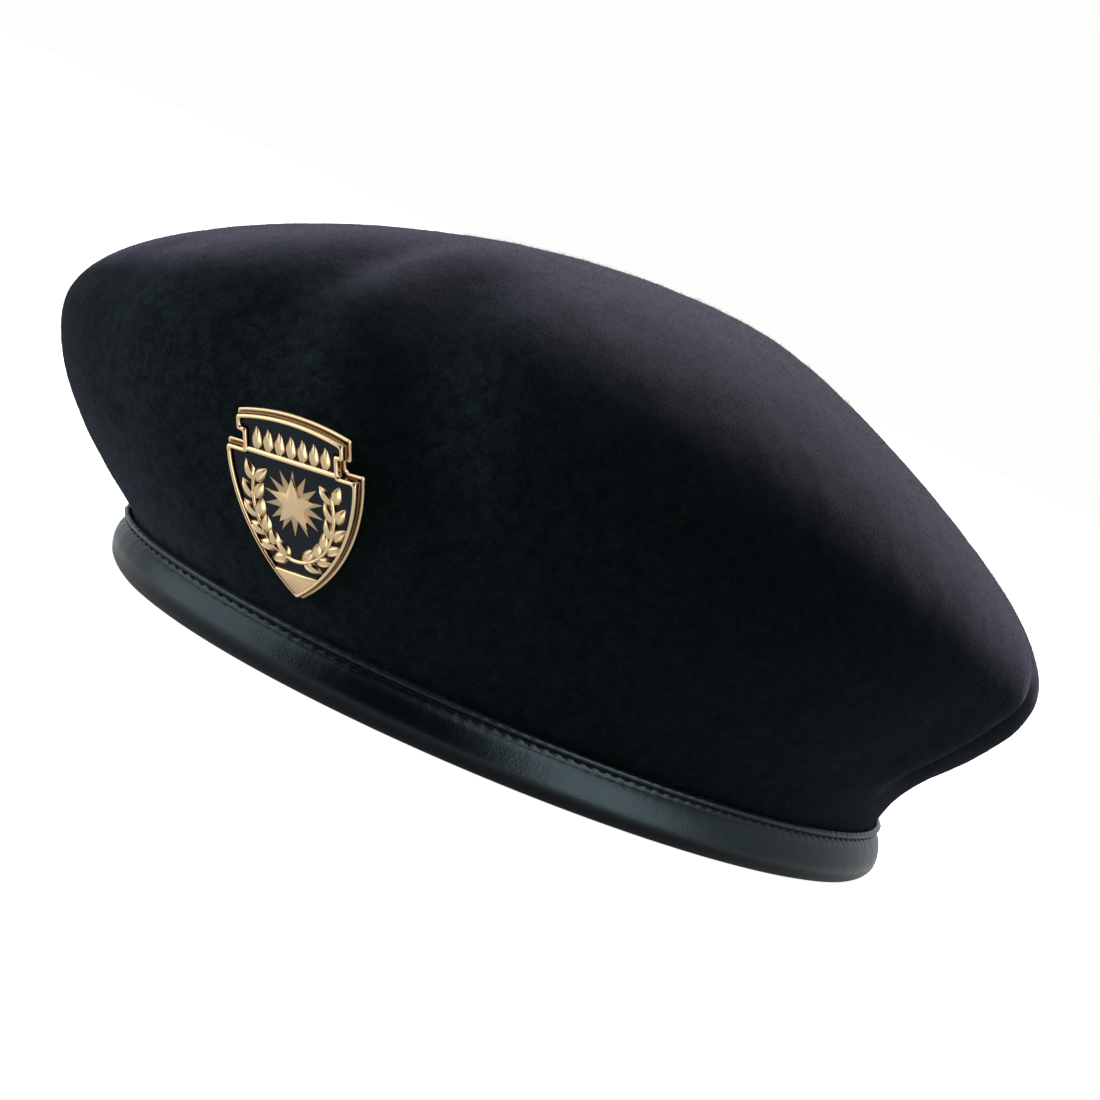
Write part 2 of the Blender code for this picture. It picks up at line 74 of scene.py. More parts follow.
# Floor. A round sheet of white acrylic on a light table, wide enough that its edge is lost in the
# white behind it. It throws no light up at the beret.
FLOOR_RADIUS = 4.0
FLOOR_WHITE = (0.90, 0.90, 0.895, 1)
FLOOR_GLOW = 1.07
bpy.ops.mesh.primitive_circle_add(vertices=96, radius=FLOOR_RADIUS, fill_type="NGON")
floor = bpy.context.object
floor.name = "floor"
floor.visible_diffuse = False
floor.visible_glossy = False
acrylic = bpy.data.materials.new("white_acrylic")
acrylic.use_nodes = True
shader = acrylic.node_tree.nodes["Principled BSDF"]
shader.inputs["Base Color"].default_value = FLOOR_WHITE
shader.inputs["Roughness"].default_value = 0.9
shader.inputs["Specular IOR Level"].default_value = 0.1
shader.inputs["Emission Color"].default_value = FLOOR_WHITE
shader.inputs["Emission Strength"].default_value = FLOOR_GLOW
floor.data.materials.append(acrylic)

# Studio light. The beret stands in a tent with a tall dark slot beside the camera and a bright panel
# on each side of the slot. The tent's foot glows with the light that the table throws up. A soft key
# light comes from high behind, and a weak cool one from low in front.


def towards(azimuth, elevation):
    """Unit vector from the beret in that direction."""
    flat = Vector((math.sin(azimuth), -math.cos(azimuth), 0)) * math.cos(elevation)
    return flat + Vector((0, 0, math.sin(elevation)))


TENT_COLOUR = (0.88, 0.99, 1.0, 1)
TENT_GLOSS = 0.60
TENT_LIGHT = 0.27
TENT_TOP = 0.30
TENT_FOOT = (-0.25, 0.50)
SLOT_SIDE = towards(math.radians(55), 0)
SLOT_EDGE = (0.75, 0.92)
SLOT_SILL = (-0.80, -0.50)
SLOT_HEAD = (0.72, 0.94)
SLOT_LIGHT = 0.02
TABLE_GLOSS = 0.82
TABLE_EDGE = (-0.80, -0.40)
# Each panel: its azimuth in degrees, the cosine at its edge, and how much brighter than the tent it is
PANELS = ((-12, 0.78, 2.6), (100, 0.80, 4.4))
BACKGROUND_COLOUR = (0.985, 0.985, 0.975, 1)
world = bpy.data.worlds.new("white_tent")
world.use_nodes = True
bpy.context.scene.world = world
tree = world.node_tree
seen = tree.nodes["Background"]
seen.inputs["Color"].default_value = BACKGROUND_COLOUR
direction = tree.nodes.new("ShaderNodeTexCoord")
level = tree.nodes.new("ShaderNodeVectorMath")
level.operation = "MULTIPLY"
level.inputs[1].default_value = (1, 1, 0)
heading = tree.nodes.new("ShaderNodeVectorMath")
heading.operation = "NORMALIZE"
opening = tree.nodes.new("ShaderNodeVectorMath")
opening.operation = "DOT_PRODUCT"
opening.inputs[1].default_value = SLOT_SIDE
height = tree.nodes.new("ShaderNodeSeparateXYZ")
slot = tree.nodes.new("ShaderNodeMapRange")
slot.interpolation_type = "SMOOTHSTEP"
slot.inputs["From Min"].default_value = SLOT_EDGE[0]
slot.inputs["From Max"].default_value = SLOT_EDGE[1]
slot.inputs["To Max"].default_value = 1 - SLOT_LIGHT
sill = tree.nodes.new("ShaderNodeMapRange")
sill.interpolation_type = "SMOOTHSTEP"
sill.inputs["From Min"].default_value = SLOT_SILL[0]
sill.inputs["From Max"].default_value = SLOT_SILL[1]
head = tree.nodes.new("ShaderNodeMapRange")
head.interpolation_type = "SMOOTHSTEP"
head.inputs["From Min"].default_value = SLOT_HEAD[0]
head.inputs["From Max"].default_value = SLOT_HEAD[1]
head.inputs["To Min"].default_value = 1
head.inputs["To Max"].default_value = 0
below_head = tree.nodes.new("ShaderNodeMath")
below_head.operation = "MULTIPLY"
above_sill = tree.nodes.new("ShaderNodeMath")
above_sill.operation = "MULTIPLY"
walls = tree.nodes.new("ShaderNodeMath")
walls.operation = "SUBTRACT"
walls.inputs[0].default_value = 1
foot = tree.nodes.new("ShaderNodeMapRange")
foot.interpolation_type = "SMOOTHSTEP"
foot.inputs["From Min"].default_value = TENT_FOOT[0]
foot.inputs["From Max"].default_value = TENT_FOOT[1]
foot.inputs["To Min"].default_value = TENT_LIGHT
foot.inputs["To Max"].default_value = TENT_TOP * TENT_LIGHT
over_table = tree.nodes.new("ShaderNodeMapRange")
over_table.interpolation_type = "SMOOTHSTEP"
over_table.inputs["From Min"].default_value = TABLE_EDGE[0]
over_table.inputs["From Max"].default_value = TABLE_EDGE[1]
plain_wall = tree.nodes.new("ShaderNodeValue")
plain_wall.outputs["Value"].default_value = TENT_GLOSS
panelled = plain_wall.outputs["Value"]
for azimuth, edge, gain in PANELS:
    facing = tree.nodes.new("ShaderNodeVectorMath")
    facing.operation = "DOT_PRODUCT"
    facing.inputs[1].default_value = towards(math.radians(azimuth), 0)
    panel = tree.nodes.new("ShaderNodeMapRange")
    panel.interpolation_type = "SMOOTHSTEP"
    panel.inputs["From Min"].default_value = edge
    panel.inputs["To Max"].default_value = gain * TENT_GLOSS
    both = tree.nodes.new("ShaderNodeMath")
    both.operation = "ADD"
    tree.links.new(heading.outputs["Vector"], facing.inputs[0])
    tree.links.new(facing.outputs["Value"], panel.inputs["Value"])
    tree.links.new(panelled, both.inputs[0])
    tree.links.new(panel.outputs["Result"], both.inputs[1])
    panelled = both.outputs["Value"]
mirror_light = tree.nodes.new("ShaderNodeMix")
mirror_light.inputs["A"].default_value = TABLE_GLOSS
light = tree.nodes.new("ShaderNodeMath")
light.operation = "MULTIPLY"
gleam = tree.nodes.new("ShaderNodeMath")
gleam.operation = "MULTIPLY"
lighting = tree.nodes.new("ShaderNodeBackground")
lighting.inputs["Color"].default_value = TENT_COLOUR
mirrored = tree.nodes.new("ShaderNodeBackground")
mirrored.inputs["Color"].default_value = TENT_COLOUR
ray = tree.nodes.new("ShaderNodeLightPath")
on_gloss = tree.nodes.new("ShaderNodeMixShader")
in_view = tree.nodes.new("ShaderNodeMixShader")
tree.links.new(direction.outputs["Generated"], level.inputs[0])
tree.links.new(level.outputs["Vector"], heading.inputs[0])
tree.links.new(heading.outputs["Vector"], opening.inputs[0])
tree.links.new(direction.outputs["Generated"], height.inputs["Vector"])
tree.links.new(opening.outputs["Value"], slot.inputs["Value"])
tree.links.new(height.outputs["Z"], sill.inputs["Value"])
tree.links.new(height.outputs["Z"], head.inputs["Value"])
tree.links.new(slot.outputs["Result"], above_sill.inputs[0])
tree.links.new(sill.outputs["Result"], above_sill.inputs[1])
tree.links.new(above_sill.outputs["Value"], below_head.inputs[0])
tree.links.new(head.outputs["Result"], below_head.inputs[1])
tree.links.new(below_head.outputs["Value"], walls.inputs[1])
tree.links.new(height.outputs["Z"], foot.inputs["Value"])
tree.links.new(walls.outputs["Value"], light.inputs[0])
tree.links.new(foot.outputs["Result"], light.inputs[1])
tree.links.new(light.outputs["Value"], lighting.inputs["Strength"])
tree.links.new(height.outputs["Z"], over_table.inputs["Value"])
tree.links.new(walls.outputs["Value"], gleam.inputs[0])
tree.links.new(over_table.outputs["Result"], mirror_light.inputs["Factor"])
tree.links.new(panelled, mirror_light.inputs["B"])
tree.links.new(mirror_light.outputs["Result"], gleam.inputs[1])
tree.links.new(gleam.outputs["Value"], mirrored.inputs["Strength"])
tree.links.new(ray.outputs["Is Glossy Ray"], on_gloss.inputs["Fac"])
tree.links.new(lighting.outputs["Background"], on_gloss.inputs[1])
tree.links.new(mirrored.outputs["Background"], on_gloss.inputs[2])
tree.links.new(ray.outputs["Is Camera Ray"], in_view.inputs["Fac"])
tree.links.new(on_gloss.outputs["Shader"], in_view.inputs[1])
tree.links.new(seen.outputs["Background"], in_view.inputs[2])
tree.links.new(in_view.outputs["Shader"], tree.nodes["World Output"].inputs["Surface"])
KEY_AZIMUTH = math.radians(219)
KEY_ELEVATION = math.radians(41)
KEY_STRENGTH = 5.2
KEY_COLOUR = (1.0, 0.86, 1.0)
KEY_SPREAD = math.radians(22)
FILL_AZIMUTH = math.radians(350)
FILL_ELEVATION = math.radians(6)
FILL_DISTANCE = 1.4
FILL_WIDTH = 0.8
FILL_POWER = 13.5
FILL_COLOUR = (0.80, 1.0, 1.0)
bpy.ops.object.light_add(type="SUN")
key = bpy.context.object
key.name = "key_light"
key.rotation_euler = towards(KEY_AZIMUTH, KEY_ELEVATION).to_track_quat("Z", "Y").to_euler()
key.data.energy = KEY_STRENGTH
key.data.color = KEY_COLOUR
key.data.angle = KEY_SPREAD
fill_side = towards(FILL_AZIMUTH, FILL_ELEVATION)
bpy.ops.object.light_add(type="AREA", location=LOOKED_AT + fill_side * FILL_DISTANCE)
fill = bpy.context.object
fill.name = "fill_light"
fill.rotation_euler = fill_side.to_track_quat("Z", "Y").to_euler()
fill.data.size = FILL_WIDTH
fill.data.energy = FILL_POWER
fill.data.color = FILL_COLOUR
fill.visible_glossy = False

# Contact shadow. A dark oval on the floor under the band, which fades outwards. Only its reflection
# in the leather is seen, and it darkens the band's lower edge as a real table does.
SHADOW_WIDTH = 0.019
SHADOW_HALF_WIDTH = 0.0885 + SHADOW_WIDTH
SHADOW_HALF_LENGTH = 0.1045 + SHADOW_WIDTH
SHADOW_START = 0.80
SHADOW_DROP = 0.0005
SHADOW_TONES = (0.14, 0.85)
bpy.ops.object.select_all(action="DESELECT")
bpy.ops.mesh.primitive_circle_add(vertices=96, radius=1, fill_type="NGON")
shadow = bpy.context.object
shadow.name = "contact_shadow"
bpy.ops.object.mode_set(mode="EDIT")
bpy.ops.transform.resize(value=(SHADOW_HALF_WIDTH, SHADOW_HALF_LENGTH, 1))
bpy.ops.transform.translate(value=RIM_CENTRE - Vector((0, 0, SHADOW_DROP)))
bpy.ops.object.mode_set(mode="OBJECT")
shadow.visible_camera = False
shadow.visible_diffuse = False
shadow.visible_shadow = False
shade = bpy.data.materials.new("shaded_floor")
shade.use_nodes = True
tree = shade.node_tree
shader = tree.nodes["Principled BSDF"]
shader.inputs["Base Color"].default_value = (0, 0, 0, 1)
shader.inputs["Emission Color"].default_value = FLOOR_WHITE
place = tree.nodes.new("ShaderNodeTexCoord")
centred = tree.nodes.new("ShaderNodeMapping")
centred.inputs["Location"].default_value = (
    -RIM_CENTRE.x / SHADOW_HALF_WIDTH,
    -RIM_CENTRE.y / SHADOW_HALF_LENGTH,
    0,
)
centred.inputs["Scale"].default_value = (1 / SHADOW_HALF_WIDTH, 1 / SHADOW_HALF_LENGTH, 1)
away = tree.nodes.new("ShaderNodeVectorMath")
away.operation = "LENGTH"
fading = tree.nodes.new("ShaderNodeMapRange")
fading.interpolation_type = "SMOOTHSTEP"
fading.inputs["From Min"].default_value = SHADOW_START
fading.inputs["To Min"].default_value = SHADOW_TONES[0]
fading.inputs["To Max"].default_value = SHADOW_TONES[1]
tree.links.new(place.outputs["Object"], centred.inputs["Vector"])
tree.links.new(centred.outputs["Vector"], away.inputs[0])
tree.links.new(away.outputs["Value"], fading.inputs["Value"])
tree.links.new(fading.outputs["Result"], shader.inputs["Emission Strength"])
shadow.data.materials.append(shade)

# Felt crown. Black wool felt, fulled and pressed on a form in one piece. Its face is brushed, so it
# is faintly cloudy, a little uneven to the touch, and mottled with paler fibres.
FELT_COLOUR = (0.0040, 0.0060, 0.0070, 1)
FELT_PALE = (0.0180, 0.0245, 0.0275, 1)
FELT_PALE_FROM = 0.18
FELT_PALE_WHOLE = 0.35
FELT_CLOUD_SCALE = 330
FELT_FIBRE_SCALE = 1500
FELT_SHEEN = 0.11
FELT_SHEEN_TINT = (0.70, 0.68, 0.95, 1)
FELT_WAVE = 0.00022
FELT_WAVE_SIZE = 0.011
FELT_GRAIN = 0.00006
FELT_GRAIN_SIZE = 0.0022
FELT_WELD = 0.00001
WAVE_FALL = 0.8
WAVE_STEP = 2.0
WAVE_OCTAVES = 3
felt = bpy.data.materials.new("wool_felt")
felt.use_nodes = True
tree = felt.node_tree
shader = tree.nodes["Principled BSDF"]
shader.inputs["Roughness"].default_value = 0.95
shader.inputs["Specular IOR Level"].default_value = 0.1
shader.inputs["Sheen Weight"].default_value = FELT_SHEEN
shader.inputs["Sheen Roughness"].default_value = 0.4
shader.inputs["Sheen Tint"].default_value = FELT_SHEEN_TINT
place = tree.nodes.new("ShaderNodeTexCoord")
clouds = tree.nodes.new("ShaderNodeTexNoise")
clouds.inputs["Scale"].default_value = FELT_CLOUD_SCALE
clouds.inputs["Detail"].default_value = 6
clouds.inputs["Roughness"].default_value = 0.65
fibres = tree.nodes.new("ShaderNodeTexNoise")
fibres.inputs["Scale"].default_value = FELT_FIBRE_SCALE
fibres.inputs["Detail"].default_value = 3
fibres.inputs["Roughness"].default_value = 0.7
tone = tree.nodes.new("ShaderNodeMath")
tone.operation = "MULTIPLY"
colours = tree.nodes.new("ShaderNodeMix")
colours.data_type = "RGBA"
colours.inputs["A"].default_value = FELT_COLOUR
colours.inputs["B"].default_value = FELT_PALE
lift = tree.nodes.new("ShaderNodeMapRange")
lift.inputs["From Min"].default_value = FELT_PALE_FROM
lift.inputs["From Max"].default_value = FELT_PALE_WHOLE
bump = tree.nodes.new("ShaderNodeBump")
bump.inputs["Strength"].default_value = 0.5
bump.inputs["Distance"].default_value = 0.0003
tree.links.new(place.outputs["Object"], clouds.inputs["Vector"])
tree.links.new(place.outputs["Object"], fibres.inputs["Vector"])
tree.links.new(clouds.outputs["Fac"], tone.inputs[0])
tree.links.new(fibres.outputs["Fac"], tone.inputs[1])
tree.links.new(tone.outputs["Value"], lift.inputs["Value"])
tree.links.new(lift.outputs["Result"], colours.inputs["Factor"])
tree.links.new(colours.outputs["Result"], shader.inputs["Base Color"])
tree.links.new(fibres.outputs["Fac"], bump.inputs["Height"])
tree.links.new(bump.outputs["Normal"], shader.inputs["Normal"])
bpy.ops.object.select_all(action="DESELECT")
crown = bpy.data.objects.new("felt_crown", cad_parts["crown"].data.copy())
bpy.context.collection.objects.link(crown)
bpy.context.view_layer.objects.active = crown
crown.select_set(True)
crown.data.materials.clear()
crown.data.materials.append(felt)
bpy.ops.object.mode_set(mode="EDIT")
bpy.ops.mesh.select_all(action="SELECT")
bpy.ops.mesh.remove_doubles(threshold=FELT_WELD)
bpy.ops.mesh.tris_convert_to_quads()
bpy.ops.object.mode_set(mode="OBJECT")
smoothing = crown.modifiers.new("smoothing", "SUBSURF")
smoothing.levels = smoothing.render_levels = 2
bpy.ops.object.modifier_apply(modifier=smoothing.name)
normals = [vertex.normal.copy() for vertex in crown.data.vertices]
for vertex, normal in zip(crown.data.vertices, normals):
    wave = FELT_WAVE * noise.fractal(vertex.co / FELT_WAVE_SIZE, WAVE_FALL, WAVE_STEP, WAVE_OCTAVES)
    grain = FELT_GRAIN * noise.noise(vertex.co / FELT_GRAIN_SIZE)
    vertex.co += normal * (wave + grain)
bpy.ops.object.shade_smooth()
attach(crown, "root")
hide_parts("crown")

# Nap. The short fibres that the brush has lifted out of the felt's outer face, each a thin spike of
# four faces that leans over at random.
NAP_COLOUR = (0.003, 0.0035, 0.005, 1)
NAP_PALE = (0.024, 0.026, 0.034, 1)
NAP_CLOUD_SCALE = 700
NAP_FIBRES = 42000
NAP_SEED = 7
NAP_LENGTH = (0.0004, 0.0011)
NAP_WIDTH = 0.000035
NAP_ROOT = 0.0001
NAP_LEAN = 0.66
NAP_LEAST_RISE = 0.3
FIBRE_FOOT = ((1, 0), (-0.5, 0.87), (-0.5, -0.87))
FIBRE_FACES = ((0, 2, 1), (0, 1, 3), (1, 2, 3), (2, 0, 3))
nap_felt = bpy.data.materials.new("wool_nap")
nap_felt.use_nodes = True
tree = nap_felt.node_tree
shader = tree.nodes["Principled BSDF"]
shader.inputs["Roughness"].default_value = 0.8
shader.inputs["Specular IOR Level"].default_value = 0.2
shader.inputs["Sheen Weight"].default_value = 0.1
shader.inputs["Sheen Roughness"].default_value = 0.5
place = tree.nodes.new("ShaderNodeTexCoord")
spread = tree.nodes.new("ShaderNodeTexNoise")
spread.inputs["Scale"].default_value = NAP_CLOUD_SCALE
colours = tree.nodes.new("ShaderNodeMix")
colours.data_type = "RGBA"
colours.inputs["A"].default_value = NAP_COLOUR
colours.inputs["B"].default_value = NAP_PALE
tree.links.new(place.outputs["Object"], spread.inputs["Vector"])
tree.links.new(spread.outputs["Fac"], colours.inputs["Factor"])
tree.links.new(colours.outputs["Result"], shader.inputs["Base Color"])
# The fibres' feet are spread evenly over the felt's outer face above the band
mesh = crown.data
mesh.calc_loop_triangles()
triangles = np.empty(len(mesh.loop_triangles) * 3, np.int32)
mesh.loop_triangles.foreach_get("vertices", triangles)
points = np.empty(len(mesh.vertices) * 3, np.float32)
mesh.vertices.foreach_get("co", points)
corners = points.reshape(-1, 3)[triangles.reshape(-1, 3)].astype(float)
facing = np.cross(corners[:, 1] - corners[:, 0], corners[:, 2] - corners[:, 0])
area = np.linalg.norm(facing, axis=1)
facing /= np.maximum(area, 1e-12)[:, None]
middle = np.array(LOOKED_AT)
outside = (facing * (corners.mean(axis=1) - middle)).sum(axis=1) > 0
outside &= corners.mean(axis=1)[:, 2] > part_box("band")[1].z
weight = np.where(outside, area, 0)
random = np.random.default_rng(NAP_SEED)
chosen = random.choice(len(weight), NAP_FIBRES, p=weight / weight.sum())
first, second = random.random(NAP_FIBRES) ** 0.5, random.random(NAP_FIBRES)
shares = np.stack((1 - first, first * (1 - second), first * second), axis=1)
feet = (corners[chosen] * shares[:, :, None]).sum(axis=1)
# Each fibre leans away from the face's normal at random, but stays clear of the face
directions = facing[chosen] + NAP_LEAN * random.normal(size=(NAP_FIBRES, 3))
rises = (directions * facing[chosen]).sum(axis=1)
directions += facing[chosen] * np.maximum(0, NAP_LEAST_RISE - rises)[:, None]
directions /= np.linalg.norm(directions, axis=1)[:, None]
lengths = random.uniform(*NAP_LENGTH, NAP_FIBRES)[:, None]
aside = np.cross(directions, random.normal(size=(NAP_FIBRES, 3)))
aside *= NAP_WIDTH / np.linalg.norm(aside, axis=1)[:, None]
across = np.cross(directions, aside)
roots = feet - facing[chosen] * NAP_ROOT
spikes = [roots + aside * x + across * y for x, y in FIBRE_FOOT]
spikes.append(feet + directions * lengths)
starts = np.arange(NAP_FIBRES)[:, None, None] * len(spikes)
faces = (starts + np.array(FIBRE_FACES)).reshape(-1, 3)
nap_mesh = bpy.data.meshes.new("felt_nap")
nap_mesh.from_pydata(np.stack(spikes, axis=1).reshape(-1, 3).tolist(), [], faces.tolist())
nap_mesh.materials.append(nap_felt)
nap = bpy.data.objects.new("felt_nap", nap_mesh)
bpy.context.collection.objects.link(nap)
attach(nap, "root")

# Leather band. A strip of thin black leather, folded in half round the felt's edge and sewn through
# near its upper edges. The stitches draw it in, so its lip puckers and the fold rolls out below.
HEAD_LENGTH = 0.198
HEAD_WIDTH = 0.166
FELT = 0.0022
LEATHER = 0.0012
GAP = 0.0003
BAND_HEIGHT = 0.0135
BAND_FLOOR = 0.0022
BAND_BULGE = 0.0022
BAND_REST = 0.0024
STITCH_DROP = 0.0022
LINING_DROP = 0.0010
ROLL_ROUNDING = 0.0036
GROOVE_DEPTH = 0.0007
GROOVE_WIDTH = 0.0009
PUCKER = 0.00008
PUCKER_FADE = 0.0012
ROLL_PUCKER = 0.2
STITCHES = 188
COLUMNS_PER_STITCH = 4
ROLL_ROWS = 15
LIP_ROWS = (0.12, 0.25, 0.40, 0.60, 0.78)
LIP_ROUND = 0.00035
LIP_DIP = 0.5
ROW_CROWDING = 1.25
BULGE_START = 0.15
EDGE_TURNS = (0, 0.25, 0.5, 0.75, 1)
EDGE_ROUND = 0.35
CHANNEL_MIDDLE = 0.6
OUTER_SIDE_FROM = 0.3
RIM_SAMPLES = 3600
# The lining's straight face as shares of its height, and its fold below as shares of the leather's
# thickness and of the height of the felt's edge
LINING_ROWS = (0.75, 0.5)
LINING_FOLD = ((0, 1.4), (0.15, 0.6), (0.6, 0.15))
LEATHER_COLOUR = (0.0050, 0.0065, 0.0085, 1)
LEATHER_TINT = (0.74, 0.92, 1.0, 1)
LEATHER_ROUGHNESS = (0.22, 0.36)
LEATHER_GRAIN_SCALE = 1400
LEATHER_CLOUD_SCALE = 130
# The lip's paler colour, and the height over which it fades in: a painted highlight along the lip's
# rounded top
LIP_HIGHLIGHT_COLOUR = (0.030, 0.034, 0.038, 1)
LIP_HIGHLIGHT_FADE = (0.0003, 0.0009)
felt_half_length = HEAD_LENGTH / 2 + LEATHER + GAP + FELT
felt_half_width = HEAD_WIDTH / 2 + LEATHER + GAP + FELT


def rim_out(angle):
    """Unit vector pointing straight out of the head opening at that angle."""
    out = Vector((felt_half_length * math.sin(angle), -felt_half_width * math.cos(angle), 0))
    return out.normalized()


def rim_foot(angle):
    """A point of the felt's outer face at the foot of the band."""
    from_centre = Vector((felt_half_width * math.sin(angle), -felt_half_length * math.cos(angle), 0))
    return RIM_CENTRE + from_centre


def band_lean(angle):
    """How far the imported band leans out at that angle, as a share of its height."""
    height = BAND_HEIGHT - LEATHER / 2
    start = rim_foot(angle) + rim_out(angle) * BAND_HEIGHT
    start.z = height
    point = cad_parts["band"].ray_cast(start, -rim_out(angle))[1]
    return ((point - rim_foot(angle)).dot(rim_out(angle)) - GAP - LEATHER) / height


# Columns at even steps round the rim, so that every stitch is as long as the next
fine_angles = np.linspace(0, 2 * math.pi, RIM_SAMPLES + 1)
fine_steps = np.hypot(felt_half_width * np.cos(fine_angles), felt_half_length * np.sin(fine_angles))
fine_lengths = np.concatenate(([0], np.cumsum((fine_steps[1:] + fine_steps[:-1]) / 2)))
fine_lengths *= fine_angles[1]
columns = STITCHES * COLUMNS_PER_STITCH
column_places = np.arange(columns) / columns * fine_lengths[-1]
column_angles = np.interp(column_places, fine_lengths, fine_angles)
leans = [band_lean(angle) for angle in column_angles]
outer_face = GAP + LEATHER
groove_height = BAND_HEIGHT - STITCH_DROP


def band_section(lean):
    """The band's section, anticlockwise from its foot, as (out, height) from the felt's outer face."""
    foot = (BAND_REST - FELT) / 2
    section = [(-(FELT + BAND_REST) / 2, 0), (foot, 0)]
    for row in range(1, ROLL_ROWS + 1):
        height = groove_height * (row / ROLL_ROWS) ** ROW_CROWDING
        swell = BULGE_START + (1 - BULGE_START) * height / groove_height
        bulge = BAND_BULGE * math.sin(math.pi * swell)
        rounding = math.sqrt(1 - max(0, 1 - height / ROLL_ROUNDING) ** 2)
        section.append((foot + (outer_face + bulge - foot) * rounding, height))
    for rise in LIP_ROWS:
        swell = LIP_ROUND * math.sin(math.pi * rise)
        section.append((outer_face + swell, groove_height + STITCH_DROP * rise))
    for turn in EDGE_TURNS:
        out = GAP + LEATHER / 2 * (1 + math.cos(math.pi * turn))
        fall = LEATHER * EDGE_ROUND * (1 - math.sin(math.pi * turn))
        section.append((out, BAND_HEIGHT - fall))
    channel = -(FELT * math.hypot(1, lean) + GAP)
    middle = BAND_HEIGHT * CHANNEL_MIDDLE
    section += [(GAP, middle), (GAP, BAND_FLOOR), (channel, BAND_FLOOR), (channel, middle)]
    lining = BAND_HEIGHT - LINING_DROP
    for turn in EDGE_TURNS:
        out = channel - LEATHER / 2 * (1 - math.cos(math.pi * turn))
        fall = LEATHER * EDGE_ROUND * (1 - math.sin(math.pi * turn))
        section.append((out, lining - fall))
    inner_face = channel - LEATHER
    section += [(inner_face, lining * share) for share in LINING_ROWS]
    section += [(inner_face + LEATHER * out, BAND_FLOOR * rise) for out, rise in LINING_FOLD]
    return section


def drawn_in(out, height, step):
    """The section's outer side, drawn in by the stitches. step counts columns."""
    if out < GAP + LEATHER * OUTER_SIDE_FROM:
        return out, height
    between = math.cos(2 * math.pi * step / COLUMNS_PER_STITCH)
    near = (height - groove_height) / GROOVE_WIDTH
    groove = math.exp(-near * near) * (GROOVE_DEPTH + PUCKER * between)
    lip = max(0, height - groove_height) / STITCH_DROP
    roll = math.exp(-max(0, groove_height - height) / PUCKER_FADE) * ROLL_PUCKER
    pucker = -PUCKER * between * (lip if lip > 0 else roll)
    return out - groove + pucker, height - PUCKER * LIP_DIP * between * lip


bpy.ops.object.select_all(action="DESELECT")
bm = bmesh.new()
rings = []
for step, (angle, lean) in enumerate(zip(column_angles, leans)):
    ring = []
    for out, height in band_section(lean):
        out, height = drawn_in(out, height, step)
        point = rim_foot(angle) + rim_out(angle) * (out + lean * height)
        point.z = height
        ring.append(bm.verts.new(point))
    rings.append(ring)
for step, ring in enumerate(rings):
    following = rings[(step + 1) % columns]
    for corner in range(len(ring)):
        after = (corner + 1) % len(ring)
        bm.faces.new((ring[corner], following[corner], following[after], ring[after]))
band_mesh = bpy.data.meshes.new("leather_band")
bm.to_mesh(band_mesh)
bm.free()
leather = bpy.data.materials.new("black_leather")
leather.use_nodes = True
tree = leather.node_tree
shader = tree.nodes["Principled BSDF"]
shader.inputs["Specular IOR Level"].default_value = 0.42
shader.inputs["Specular Tint"].default_value = LEATHER_TINT
place = tree.nodes.new("ShaderNodeTexCoord")
height = tree.nodes.new("ShaderNodeSeparateXYZ")
# Painted highlight: the leather above the stitch groove is coloured paler, to stand for the light that
# the lip's rounded top catches
lip_highlight = tree.nodes.new("ShaderNodeMapRange")
lip_highlight.inputs["From Min"].default_value = groove_height + LIP_HIGHLIGHT_FADE[0]
lip_highlight.inputs["From Max"].default_value = groove_height + LIP_HIGHLIGHT_FADE[1]
colours = tree.nodes.new("ShaderNodeMix")
colours.data_type = "RGBA"
colours.inputs["A"].default_value = LEATHER_COLOUR
colours.inputs["B"].default_value = LIP_HIGHLIGHT_COLOUR
tree.links.new(place.outputs["Object"], height.inputs["Vector"])
tree.links.new(height.outputs["Z"], lip_highlight.inputs["Value"])
tree.links.new(lip_highlight.outputs["Result"], colours.inputs["Factor"])
tree.links.new(colours.outputs["Result"], shader.inputs["Base Color"])
grain = tree.nodes.new("ShaderNodeTexVoronoi")
grain.inputs["Scale"].default_value = LEATHER_GRAIN_SCALE
soft = tree.nodes.new("ShaderNodeTexNoise")
soft.inputs["Scale"].default_value = LEATHER_CLOUD_SCALE
soft.inputs["Detail"].default_value = 4
gloss = tree.nodes.new("ShaderNodeMapRange")
gloss.inputs["To Min"].default_value = LEATHER_ROUGHNESS[0]
gloss.inputs["To Max"].default_value = LEATHER_ROUGHNESS[1]
bump = tree.nodes.new("ShaderNodeBump")
bump.inputs["Strength"].default_value = 0.25
bump.inputs["Distance"].default_value = 0.0001
tree.links.new(place.outputs["Object"], grain.inputs["Vector"])
tree.links.new(place.outputs["Object"], soft.inputs["Vector"])
tree.links.new(soft.outputs["Fac"], gloss.inputs["Value"])
tree.links.new(gloss.outputs["Result"], shader.inputs["Roughness"])
tree.links.new(grain.outputs["Distance"], bump.inputs["Height"])
tree.links.new(bump.outputs["Normal"], shader.inputs["Normal"])
band_mesh.materials.append(leather)
band_mesh.shade_smooth()
band = bpy.data.objects.new("leather_band", band_mesh)
bpy.context.collection.objects.link(band)
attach(band, "root")
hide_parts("band")

